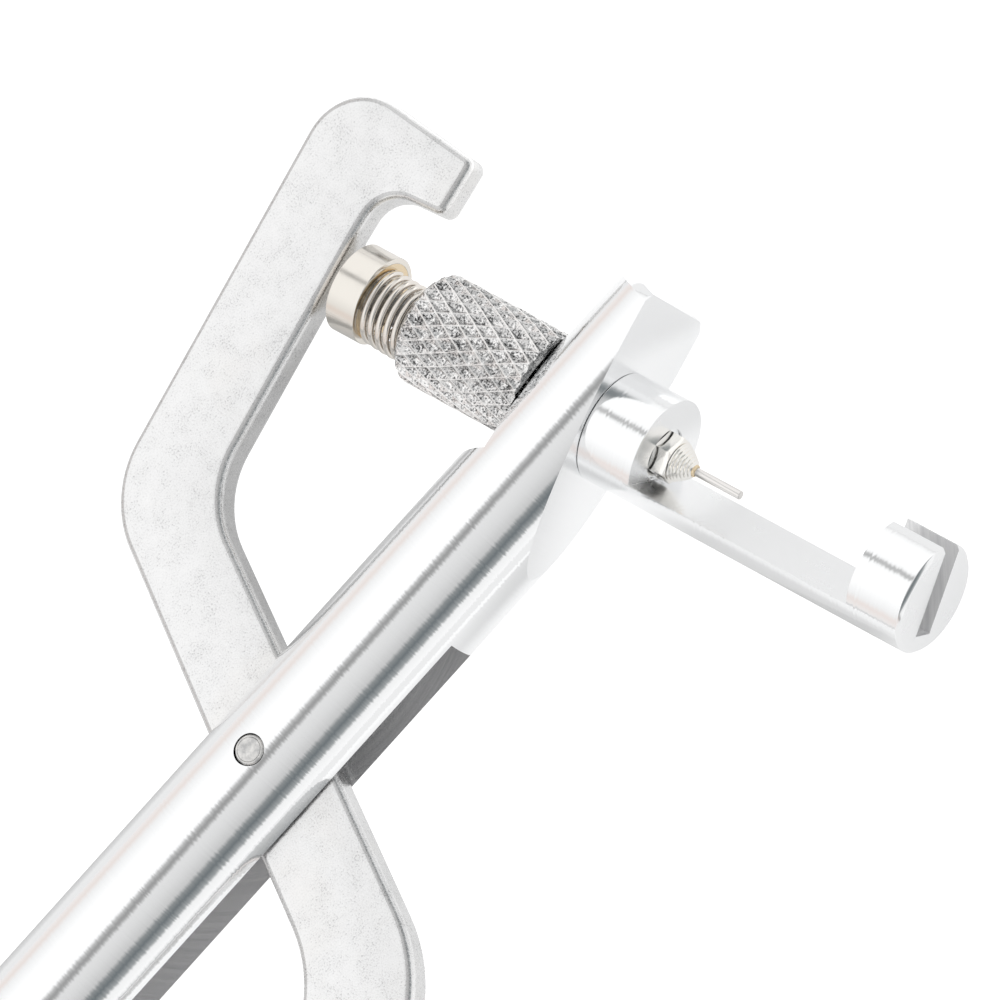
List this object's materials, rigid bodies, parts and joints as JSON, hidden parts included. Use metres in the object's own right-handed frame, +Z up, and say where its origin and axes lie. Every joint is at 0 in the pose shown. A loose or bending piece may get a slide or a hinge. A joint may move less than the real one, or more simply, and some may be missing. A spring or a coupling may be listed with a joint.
{
  "type": "bracelet link pin pliers",
  "caption": "Hand-held watch bracelet pliers: a slotted round handle, a hooked squeeze lever and a sprung punch that drives a link pin across a swivelling anvil.",
  "frame": {"origin": "Bottom centre of the bounding box, with the tool lying flat on the side of its round handle.", "axes": "+X along the handle from its butt end to its tip, +Y from the handle towards the lever's hooked arm and the plunger cap, +Z up across the lever plate, parallel to the cross pin."},
  "size_m": [0.15, 0.0735, 0.012],
  "materials": {
    "rod_aluminium": "turned, bright",
    "anvil_aluminium": "turned and milled, bright",
    "lever_plate": "tumbled, satin grey",
    "barrel_steel": "diamond knurled",
    "pin_steel": "ground",
    "plated_nickel": "nickel plated, bright"
  },
  "bodies": {
    "handle": {"handle_rod": "rod_aluminium", "pivot_pin": "pin_steel"},
    "squeeze_lever": {"lever": "lever_plate"},
    "anvil_body": {"anvil": "anvil_aluminium"},
    "barrel": {"knurled_barrel": "barrel_steel", "return_spring": "plated_nickel"},
    "plunger": {"plunger_cap": "plated_nickel", "plunger_shaft": "pin_steel", "pin_chuck": "plated_nickel", "chuck_nose": "plated_nickel", "punch_pin": "pin_steel"}
  },
  "joints": [
    {"name": "lever_pivot", "type": "hinge", "parent": "handle", "child": "squeeze_lever", "pos_m": [0.02105, -0.00065, 0.006], "axis": [0, 0, -1], "range_deg": [0, 5.7]},
    {"name": "plunger_slide", "type": "slide", "parent": "handle", "child": "plunger", "axis": [0.2588, -0.9659, 0], "range_m": [0, 0.00425], "stiffness_N_per_m": 200, "springref_m": -0.001, "deforming": ["return_spring"]},
    {"name": "anvil_swivel", "type": "hinge", "parent": "handle", "child": "anvil_body", "pos_m": [0.06085, -0.00065, 0.006], "axis": [0.2588, -0.9659, 0], "range_deg": [-90, 90]},
    {"name": "barrel_turn", "type": "hinge", "parent": "handle", "child": "barrel", "pos_m": [0.06085, -0.00065, 0.006], "axis": [0.2588, -0.9659, 0], "range_deg": [-180, 180]}
  ],
  "couplings": [
    {"joint": "plunger_slide", "follows": "lever_pivot", "m_per_rad": 0.0425}
  ]
}
